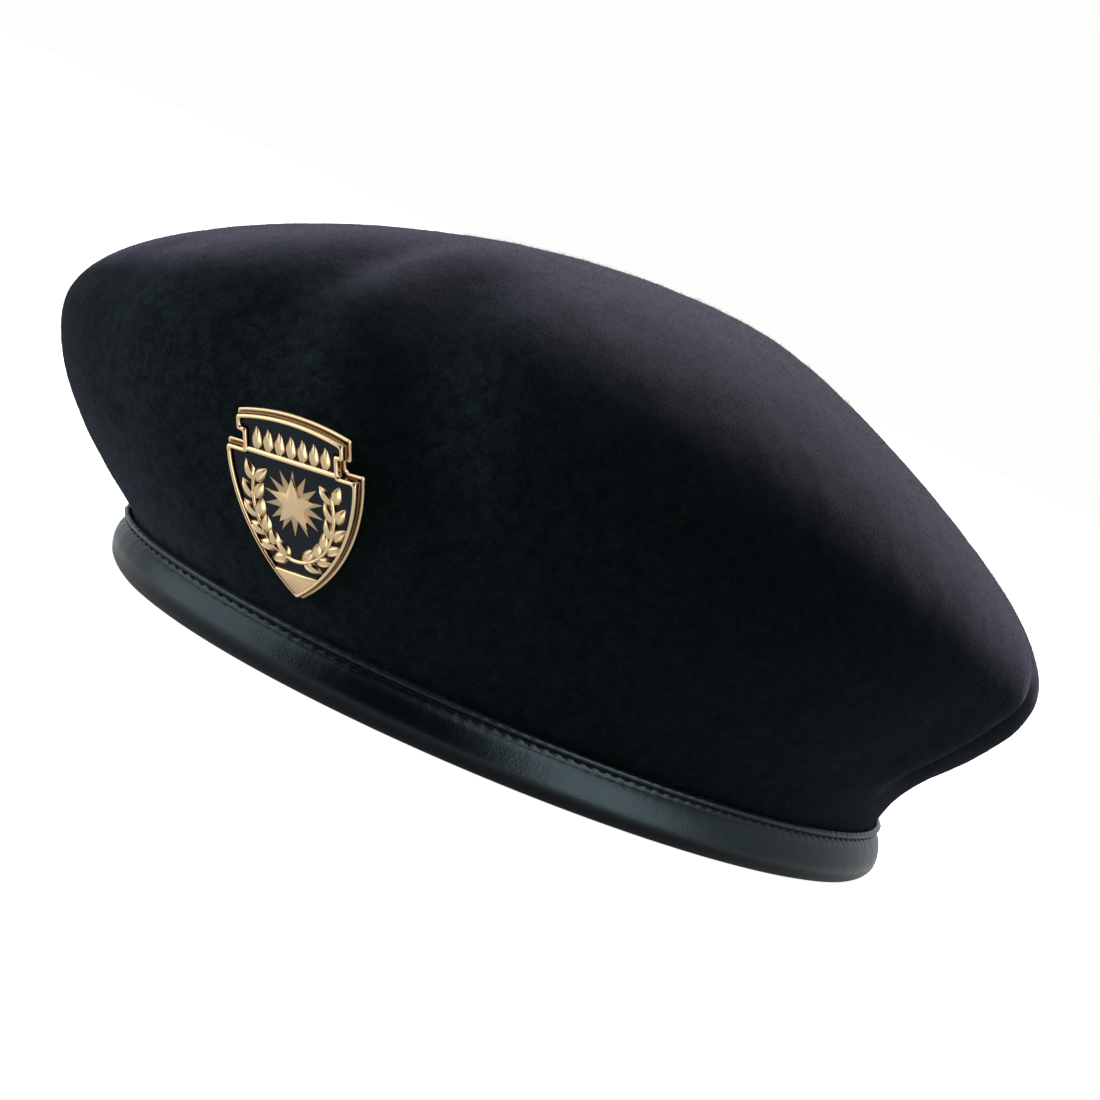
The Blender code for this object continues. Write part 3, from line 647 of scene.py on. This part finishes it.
# Band stitches. Black waxed thread in the groove under the lip, one lock stitch in each pucker. One
# stitch is modelled, and copies of it are sewn on round the rim.
THREAD = 0.0007
THREAD_COLOUR = (0.0025, 0.0025, 0.003, 1)
THREAD_LIFT = 0.1
STITCH_LENGTH = 0.0021
STITCH_SLANT = math.radians(9)
bpy.ops.mesh.primitive_uv_sphere_add(segments=8, ring_count=6, radius=THREAD / 2)
stitch = bpy.context.object
bpy.ops.object.mode_set(mode="EDIT")
bpy.ops.transform.resize(value=(STITCH_LENGTH / THREAD, 1, 1))
bpy.ops.object.mode_set(mode="OBJECT")
thread = bpy.data.materials.new("waxed_thread")
thread.use_nodes = True
shader = thread.node_tree.nodes["Principled BSDF"]
shader.inputs["Base Color"].default_value = THREAD_COLOUR
shader.inputs["Roughness"].default_value = 0.7
shader.inputs["Specular IOR Level"].default_value = 0.2
stitch.data.materials.append(thread)
stitches = []
for number in range(STITCHES):
    step = number * COLUMNS_PER_STITCH
    angle, lean = column_angles[step], leans[step]
    out, height = drawn_in(outer_face, groove_height, step)
    middle = rim_foot(angle) + rim_out(angle) * (out + THREAD * THREAD_LIFT + lean * height)
    middle.z = height
    side = rim_out(angle).cross(Vector((0, 0, -1)))
    turn = Matrix((side, rim_out(angle), Vector((0, 0, 1)))).transposed().to_4x4()
    copy = stitch.data.copy()
    copy.transform(Matrix.Translation(middle) @ turn @ Matrix.Rotation(STITCH_SLANT, 4, "Y"))
    sewn = bpy.data.objects.new("stitch", copy)
    bpy.context.collection.objects.link(sewn)
    stitches.append(sewn)
bpy.data.objects.remove(stitch)
bpy.ops.object.select_all(action="DESELECT")
for sewn in stitches:
    sewn.select_set(True)
bpy.context.view_layer.objects.active = stitches[0]
bpy.ops.object.join()
sewing = bpy.context.object
sewing.name = "band_stitches"
sewing.data.shade_smooth()
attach(sewing, "root")

# Shield badge. Die-cast brass, gilt and polished, with a flanged back plate, a beaded rim and raised
# relief over a sunk field: a star on a burst of rays, laurel branches and a row of upright leaves.
BADGE_HEIGHT = 0.046
BADGE_WIDTH = 0.037
CHIEF_WIDTH = 0.0305
CHIEF_SIDE = 0.0052
CHIEF_ARCH = 0.0022
NOTCH_WIDTH = 0.0016
NOTCH_HEIGHT = 0.0026
PLATE_TOP = 0.0011
FIELD_FLOOR = 0.0015
RIM_TOP = 0.0031
BODY_STEP = 0.0008
RIM_WIDTH = 0.0010
CORNER_RADIUS = 0.0009
CORNER_ROOM = 0.45
SHARP_CORNER = math.radians(35)
SMOOTHED_ANGLE = math.radians(38)
FLANK_STEPS = 22
ARCH_STEPS = 14
CORNER_STEPS = 5
BEAD_STEPS = 8
BRIGHT_FROM = 0.0029
GILT_COLOUR = (0.82, 0.56, 0.33, 1)
TARNISH_COLOUR = (0.10, 0.050, 0.022, 1)
GILT_ROUGHNESS = (0.12, 0.30)
GILT_WEAR_SCALE = 420
shoulder = BADGE_HEIGHT / 2 - CHIEF_ARCH - CHIEF_SIDE - NOTCH_HEIGHT

# The badge's place on the crown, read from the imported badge: its X to the wearer's left, Y up the
# wall and Z out of it, from the felt's face on the screw's axis
enamel_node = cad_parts["badge_enamel"]
screw_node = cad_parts["badge_screw"]
enamel_points = np.unique(np.array([vert.co for vert in enamel_node.data.vertices]).round(6), axis=0)
screw_points = np.unique(np.array([vert.co for vert in screw_node.data.vertices]).round(6), axis=0)
plate_points = np.array([vert.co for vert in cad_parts["badge_shield"].data.vertices])
enamel_middle = enamel_points.mean(axis=0)
axes = np.linalg.eigh(np.cov((enamel_points - enamel_middle).T)).eigenvectors
badge_out = axes[:, 0] * np.sign(axes[:, 0] @ (enamel_middle - np.array(LOOKED_AT)))
badge_up = max(axes[:, 1], axes[:, 2], key=lambda axis: abs(axis[2]))
badge_up = badge_up * np.sign(badge_up[2])
badge_side = np.cross(badge_up, badge_out)
on_axis = screw_points.mean(axis=0)
seat_point = on_axis + badge_out * ((plate_points @ badge_out).min() - GAP - on_axis @ badge_out)
seat = Matrix([list(axis) for axis in (badge_side, badge_up, badge_out)]).transposed().to_4x4()
seat.translation = Vector(seat_point.tolist())


def arc(centre, radius, start, end, steps):
    """Points along an arc between two angles, both ends in."""
    turns = [start + (end - start) * step / steps for step in range(steps + 1)]
    return [(centre[0] + radius * math.cos(turn), centre[1] + radius * math.sin(turn)) for turn in turns]


def rounded(outline, radius):
    """The outline with its sharp corners rounded off."""
    eased = []
    for index, point in enumerate(outline):
        corner = Vector(point)
        before = Vector(outline[index - 1]) - corner
        after = Vector(outline[(index + 1) % len(outline)]) - corner
        turn = math.pi - before.angle(after)
        if turn < SHARP_CORNER:
            eased.append(point)
            continue
        room = CORNER_ROOM * min(before.length, after.length)
        cut = min(radius * math.tan(turn / 2), room)
        start = corner + before.normalized() * cut
        end = corner + after.normalized() * cut
        for step in range(CORNER_STEPS + 1):
            share = step / CORNER_STEPS
            on_arc = start * (1 - share) ** 2 + corner * 2 * share * (1 - share) + end * share**2
            eased.append(on_arc.to_tuple())
    return eased


def shield_outline(inset):
    """The shield's outline, anticlockwise from its tip, that far inside the badge's edge."""
    half = BADGE_WIDTH / 2
    drop = shoulder + BADGE_HEIGHT / 2
    flank_radius = (half**2 + drop**2) / (2 * half) - inset
    flank_centre = (half - inset - flank_radius, shoulder)
    tip = -math.acos(-flank_centre[0] / flank_radius)
    flank = arc(flank_centre, flank_radius, tip, -math.asin(inset / flank_radius), FLANK_STEPS)
    chief_half = CHIEF_WIDTH / 2
    notch = chief_half - NOTCH_WIDTH - inset
    chief = [(notch, shoulder - inset), (notch, shoulder + NOTCH_HEIGHT + inset)]
    chief.append((chief_half - inset, shoulder + NOTCH_HEIGHT + inset))
    arch_radius = (chief_half**2 + CHIEF_ARCH**2) / (2 * CHIEF_ARCH) - inset
    arch_centre = (0, BADGE_HEIGHT / 2 - inset - arch_radius)
    corner = math.acos((chief_half - inset) / arch_radius)
    arch = arc(arch_centre, arch_radius, corner, math.pi / 2, ARCH_STEPS)
    right = [flank[0]] + flank[2:-2] + [flank[-1]] + chief + [arch[0]] + arch[2:]
    return rounded(right + [(-x, y) for x, y in reversed(right[1:-1])], CORNER_RADIUS)


def seated(name, bm, material):
    """Sets a piece that was modelled flat onto the badge's place, as an object of that name. Its depth
    runs from 1 on the field's floor, where tarnish gathers, to 0 on what is rubbed bright."""
    bmesh.ops.recalc_face_normals(bm, faces=bm.faces)
    if "depth" not in bm.verts.layers.float:
        depth = bm.verts.layers.float.new("depth")
        for vert in bm.verts:
            vert[depth] = min(max((BRIGHT_FROM - vert.co.z) / (BRIGHT_FROM - FIELD_FLOOR), 0), 1)
    mesh = bpy.data.meshes.new(name)
    bm.to_mesh(mesh)
    bm.free()
    mesh.transform(seat)
    mesh.materials.append(material)
    piece = bpy.data.objects.new(name, mesh)
    bpy.context.collection.objects.link(piece)
    return piece


gilt = bpy.data.materials.new("gilt_brass")
gilt.use_nodes = True
tree = gilt.node_tree
shader = tree.nodes["Principled BSDF"]
shader.inputs["Metallic"].default_value = 1.0
place = tree.nodes.new("ShaderNodeTexCoord")
rubbed = tree.nodes.new("ShaderNodeTexNoise")
rubbed.inputs["Scale"].default_value = GILT_WEAR_SCALE
rubbed.inputs["Detail"].default_value = 4
hollow = tree.nodes.new("ShaderNodeAttribute")
hollow.attribute_name = "depth"
tarnish = tree.nodes.new("ShaderNodeMix")
tarnish.data_type = "RGBA"
tarnish.inputs["A"].default_value = GILT_COLOUR
tarnish.inputs["B"].default_value = TARNISH_COLOUR
wear = tree.nodes.new("ShaderNodeMapRange")
wear.inputs["To Min"].default_value = GILT_ROUGHNESS[0]
wear.inputs["To Max"].default_value = GILT_ROUGHNESS[1]
cast = tree.nodes.new("ShaderNodeBump")
cast.inputs["Strength"].default_value = 0.35
cast.inputs["Distance"].default_value = 0.00012
tree.links.new(place.outputs["Object"], rubbed.inputs["Vector"])
tree.links.new(hollow.outputs["Fac"], tarnish.inputs["Factor"])
tree.links.new(tarnish.outputs["Result"], shader.inputs["Base Color"])
tree.links.new(rubbed.outputs["Fac"], wear.inputs["Value"])
tree.links.new(wear.outputs["Result"], shader.inputs["Roughness"])
tree.links.new(rubbed.outputs["Fac"], cast.inputs["Height"])
tree.links.new(cast.outputs["Normal"], shader.inputs["Normal"])

# The casting, up from its back: the flange with an eased edge, the groove round the body, the bead
# of the rim, and the sunk floor that closes the field. Each level holds its inset from the badge's
# edge, its height and its share of tarnish.
bead = RIM_WIDTH / 2
levels = [
    (0.0003, GAP, 0.6),
    (0, GAP + 0.0002, 0.3),
    (0, PLATE_TOP - 0.0003, 0.1),
    (0.00008, PLATE_TOP - 0.0001, 0),
    (0.0003, PLATE_TOP, 0.1),
    (BODY_STEP, PLATE_TOP, 1),
]
for step in range(BEAD_STEPS + 1):
    turn = math.pi * step / BEAD_STEPS
    fall = 1 - math.sin(turn)
    levels.append((BODY_STEP + bead * (1 - math.cos(turn)), RIM_TOP - bead * fall, 0.5 * fall))
levels.append((BODY_STEP + RIM_WIDTH, FIELD_FLOOR, 1))
bm = bmesh.new()
depth = bm.verts.layers.float.new("depth")
loops = []
for inset, height, tarnished in levels:
    loops.append([bm.verts.new((x, y, height)) for x, y in shield_outline(inset)])
    for vert in loops[-1]:
        vert[depth] = tarnished
for low, high in zip(loops, loops[1:]):
    for corner in range(len(low)):
        after = (corner + 1) % len(low)
        bm.faces.new((low[corner], low[after], high[after], high[corner]))
bm.faces.new(loops[0][::-1])
bm.faces.new(loops[-1])
casting = seated("casting", bm, gilt)

# Leaves: pointed ovals, domed over their length, each with a groove for its rib
LEAF_SEGMENTS = 12
LEAF_ROWS = 9
LEAF_THICKNESS = 0.0011
LEAF_FULLNESS = 0.8
LEAF_TIP = 0.15
RIB_DEPTH = 0.30
RIB_NARROWNESS = 9
RELIEF_FOOT = 0.0020
RELIEF_OVERLAP = 0.0001


def leaf_bmesh(length, width):
    """A leaf with its foot at the origin and its tip along X."""
    leaf = bmesh.new()
    rows = []
    for row in range(1, LEAF_ROWS):
        share = row / LEAF_ROWS
        half = width / 2 * math.sin(math.pi * share**LEAF_FULLNESS) ** LEAF_FULLNESS
        ring = []
        for segment in range(LEAF_SEGMENTS):
            turn = 2 * math.pi * segment / LEAF_SEGMENTS
            y = half * math.cos(turn)
            rise = LEAF_THICKNESS * math.sqrt(math.sin(math.pi * share)) * math.sin(turn)
            rib = RIB_DEPTH * LEAF_THICKNESS * math.exp(-((y / width * RIB_NARROWNESS) ** 2))
            ring.append(leaf.verts.new((length * share, y, max(rise - rib, 0))))
        rows.append(ring)
    ends = leaf.verts.new((0, 0, 0)), leaf.verts.new((length, 0, LEAF_THICKNESS * LEAF_TIP))
    for ring, following in zip(rows, rows[1:]):
        for segment in range(LEAF_SEGMENTS):
            after = (segment + 1) % LEAF_SEGMENTS
            leaf.faces.new((ring[segment], ring[after], following[after], following[segment]))
    for segment in range(LEAF_SEGMENTS):
        after = (segment + 1) % LEAF_SEGMENTS
        leaf.faces.new((rows[0][after], rows[0][segment], ends[0]))
        leaf.faces.new((rows[-1][segment], rows[-1][after], ends[1]))
    return leaf


WREATH_WIDTH = 0.0222
WREATH_HEIGHT = 0.0286
WREATH_RISE = 0.0018
WREATH_SWEEP = math.radians(110)
WREATH_CROSSING = 0.06
LEAF_LENGTH = 0.0054
LEAF_WIDTH = 0.0032
LEAF_SPREAD = math.radians(32)
LEAF_PAIRS = 6
STEM_RADIUS = 0.0005
CHIEF_LEAVES = 7
CHIEF_LEAF_LENGTH = 0.0062
CHIEF_LEAF_WIDTH = 0.0030
CHIEF_LEAF_PITCH = 0.0031
BAR_WIDTH = 0.0016


def stem_point(side, share):
    """A point on a branch of the wreath, from its foot at share 0 to its end at 1."""
    turn = WREATH_SWEEP * share - math.pi / 2
    up = WREATH_HEIGHT / 2 * math.sin(turn) + WREATH_RISE
    return Vector((side * WREATH_WIDTH / 2 * math.cos(turn), up, 0))


relief = [casting]
for side in (-1, 1):
    for pair in range(LEAF_PAIRS):
        foot = stem_point(side, (pair + 0.5) / LEAF_PAIRS)
        along = stem_point(side, (pair + 1) / LEAF_PAIRS) - foot
        for spread in (-LEAF_SPREAD, LEAF_SPREAD):
            leaf = leaf_bmesh(LEAF_LENGTH, LEAF_WIDTH)
            turn = Matrix.Rotation(math.atan2(along.y, along.x) + spread, 4, "Z")
            foot.z = RELIEF_FOOT + (RELIEF_OVERLAP if spread > 0 else 0)
            leaf.transform(Matrix.Translation(foot) @ turn)
            relief.append(seated("leaf", leaf, gilt))
bar_y = shoulder - BAR_WIDTH / 2
for number in range(CHIEF_LEAVES):
    leaf = leaf_bmesh(CHIEF_LEAF_LENGTH, CHIEF_LEAF_WIDTH)
    foot = Vector(((number - (CHIEF_LEAVES - 1) / 2) * CHIEF_LEAF_PITCH, bar_y, RELIEF_FOOT))
    leaf.transform(Matrix.Translation(foot) @ Matrix.Rotation(math.pi / 2, 4, "Z"))
    relief.append(seated("chief_leaf", leaf, gilt))

# Stems and bar: round rods that stand half out of the field
STEM_STEPS = 28
STEM_END = 0.97
STEM_LIFT = 0.6
BAR_POINTS = (-1, -0.5, 0, 0.5, 1)
ROD_SIDES = 10


def rod(path, radius):
    """A round rod with closed ends along those points."""
    bar = bmesh.new()
    up = Vector((0, 0, 1))
    rings = []
    for step, point in enumerate(path):
        along = (path[min(step + 1, len(path) - 1)] - path[max(step - 1, 0)]).normalized()
        aside = along.cross(up)
        ring = []
        for corner in range(ROD_SIDES):
            turn = 2 * math.pi * corner / ROD_SIDES
            outwards = aside * math.cos(turn) + up * math.sin(turn)
            ring.append(bar.verts.new(point + outwards * radius))
        rings.append(ring)
    for ring, following in zip(rings, rings[1:]):
        for corner in range(ROD_SIDES):
            after = (corner + 1) % ROD_SIDES
            bar.faces.new((ring[corner], ring[after], following[after], following[corner]))
    bar.faces.new(rings[0])
    bar.faces.new(rings[-1][::-1])
    return bar


stem_steps = range(STEM_STEPS + 1)
stem_shares = [(1 + WREATH_CROSSING) * step / STEM_STEPS - WREATH_CROSSING for step in stem_steps]
for side in (-1, 1):
    lift = Vector((0, 0, RELIEF_FOOT + STEM_RADIUS * STEM_LIFT + (side + 1) * RELIEF_OVERLAP))
    path = [stem_point(side, share * STEM_END) + lift for share in stem_shares]
    relief.append(seated("stem", rod(path, STEM_RADIUS), gilt))
bar_half = CHIEF_WIDTH / 2 - NOTCH_WIDTH - BODY_STEP - bead
bar_foot = Vector((0, bar_y, RELIEF_FOOT + RELIEF_OVERLAP))
bar_path = [bar_foot + Vector((bar_half * share, 0, 0)) for share in BAR_POINTS]
relief.append(seated("bar", rod(bar_path, BAR_WIDTH / 2), gilt))

# Star and burst: pyramids whose ridges run from each point to the middle
STAR_POINTS = 5
STAR_RADIUS = 0.0064
STAR_WAIST = 0.0027
STAR_EDGE = 0.0028
STAR_TOP = 0.0035
BURST_RAYS = 14
BURST_RADIUS = 0.0082
BURST_WAIST = 0.0042
BURST_EDGE = 0.00225
BURST_TOP = 0.0026


def pointed(points, radius, waist, edge, top):
    """A star with that many points, raised from its edge to its middle."""
    star = bmesh.new()
    outline = []
    for step in range(2 * points):
        reach = waist if step % 2 else radius
        turn = math.pi / 2 + step * math.pi / points
        outline.append((reach * math.cos(turn), reach * math.sin(turn) + WREATH_RISE))
    base = [star.verts.new((x, y, FIELD_FLOOR)) for x, y in outline]
    rim = [star.verts.new((x, y, edge)) for x, y in outline]
    peak = star.verts.new((0, WREATH_RISE, top))
    star.faces.new(base[::-1])
    for step in range(2 * points):
        after = (step + 1) % (2 * points)
        star.faces.new((base[step], base[after], rim[after], rim[step]))
        star.faces.new((rim[step], rim[after], peak))
    return star


burst = pointed(BURST_RAYS, BURST_RADIUS, BURST_WAIST, BURST_EDGE, BURST_TOP)
star = pointed(STAR_POINTS, STAR_RADIUS, STAR_WAIST, STAR_EDGE, STAR_TOP)
relief += [seated("burst", burst, gilt), seated("star", star, gilt)]

# The solid tip, gently domed, closes the foot of the field. Each row of its dome holds a share of the
# tip's outline and a height.
TIP_HEIGHT = 0.0085
TIP_DOME = ((1, FIELD_FLOOR), (1, 0.0024), (0.97, 0.0027), (0.88, 0.0030), (0.6, 0.0032))
tip_edge = TIP_HEIGHT - BADGE_HEIGHT / 2
tip_outline = [Vector(point) for point in shield_outline(BODY_STEP + bead) if point[1] < tip_edge]
tip_middle = sum(tip_outline, Vector((0, 0))) / len(tip_outline)
bm = bmesh.new()
loops = []
for share, height in TIP_DOME:
    ring = [tip_middle + (point - tip_middle) * share for point in tip_outline]
    loops.append([bm.verts.new((point.x, point.y, height)) for point in ring])
for low, high in zip(loops, loops[1:]):
    for corner in range(len(low)):
        after = (corner + 1) % len(low)
        bm.faces.new((low[corner], low[after], high[after], high[corner]))
bm.faces.new(loops[0][::-1])
bm.faces.new(loops[-1])
relief.append(seated("tip", bm, gilt))

bpy.ops.object.select_all(action="DESELECT")
for piece in relief:
    piece.select_set(True)
bpy.context.view_layer.objects.active = casting
bpy.ops.object.join()
badge = bpy.context.object
badge.name = "gilt_badge"
bpy.ops.object.shade_smooth_by_angle(angle=SMOOTHED_ANGLE)
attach(badge, "root")
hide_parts("badge_shield")

# Enamel. Hard enamel of a blue so deep that it looks black, fired in the field and ground flat, so it
# is glossy with a slight unevenness.
ENAMEL_COLOUR = (0.004, 0.005, 0.010, 1)
ENAMEL_PALE = (0.012, 0.015, 0.030, 1)
ENAMEL_ROUGHNESS = (0.10, 0.30)
ENAMEL_CLOUD_SCALE = 260
enamel = bpy.data.materials.new("dark_enamel")
enamel.use_nodes = True
tree = enamel.node_tree
shader = tree.nodes["Principled BSDF"]
shader.inputs["Specular IOR Level"].default_value = 0.14
shader.inputs["Coat Weight"].default_value = 0.06
shader.inputs["Coat Roughness"].default_value = 0.08
place = tree.nodes.new("ShaderNodeTexCoord")
fired = tree.nodes.new("ShaderNodeTexNoise")
fired.inputs["Scale"].default_value = ENAMEL_CLOUD_SCALE
fired.inputs["Detail"].default_value = 3
colours = tree.nodes.new("ShaderNodeMix")
colours.data_type = "RGBA"
colours.inputs["A"].default_value = ENAMEL_COLOUR
colours.inputs["B"].default_value = ENAMEL_PALE
gloss = tree.nodes.new("ShaderNodeMapRange")
gloss.inputs["To Min"].default_value = ENAMEL_ROUGHNESS[0]
gloss.inputs["To Max"].default_value = ENAMEL_ROUGHNESS[1]
bump = tree.nodes.new("ShaderNodeBump")
bump.inputs["Strength"].default_value = 0.2
bump.inputs["Distance"].default_value = 0.0001
tree.links.new(place.outputs["Object"], fired.inputs["Vector"])
tree.links.new(fired.outputs["Fac"], colours.inputs["Factor"])
tree.links.new(colours.outputs["Result"], shader.inputs["Base Color"])
tree.links.new(fired.outputs["Fac"], gloss.inputs["Value"])
tree.links.new(gloss.outputs["Result"], shader.inputs["Roughness"])
tree.links.new(fired.outputs["Fac"], bump.inputs["Height"])
tree.links.new(bump.outputs["Normal"], shader.inputs["Normal"])
for slot in enamel_node.material_slots:
    slot.material = enamel

# Badge screw. Plain turned steel inside the crown, a little cloudy, with patches of duller and
# brighter metal.
STEEL_COLOUR = (0.36, 0.35, 0.33, 1)
STEEL_BRIGHT = (0.54, 0.53, 0.51, 1)
STEEL_ROUGHNESS = (0.25, 0.50)
STEEL_CLOUD_SCALE = 900
steel = bpy.data.materials.new("turned_steel")
steel.use_nodes = True
tree = steel.node_tree
shader = tree.nodes["Principled BSDF"]
shader.inputs["Metallic"].default_value = 1.0
place = tree.nodes.new("ShaderNodeTexCoord")
turned = tree.nodes.new("ShaderNodeTexNoise")
turned.inputs["Scale"].default_value = STEEL_CLOUD_SCALE
turned.inputs["Detail"].default_value = 4
colours = tree.nodes.new("ShaderNodeMix")
colours.data_type = "RGBA"
colours.inputs["A"].default_value = STEEL_COLOUR
colours.inputs["B"].default_value = STEEL_BRIGHT
gloss = tree.nodes.new("ShaderNodeMapRange")
gloss.inputs["To Min"].default_value = STEEL_ROUGHNESS[0]
gloss.inputs["To Max"].default_value = STEEL_ROUGHNESS[1]
tree.links.new(place.outputs["Object"], turned.inputs["Vector"])
tree.links.new(turned.outputs["Fac"], colours.inputs["Factor"])
tree.links.new(colours.outputs["Result"], shader.inputs["Base Color"])
tree.links.new(turned.outputs["Fac"], gloss.inputs["Value"])
tree.links.new(gloss.outputs["Result"], shader.inputs["Roughness"])
for slot in screw_node.material_slots:
    slot.material = steel
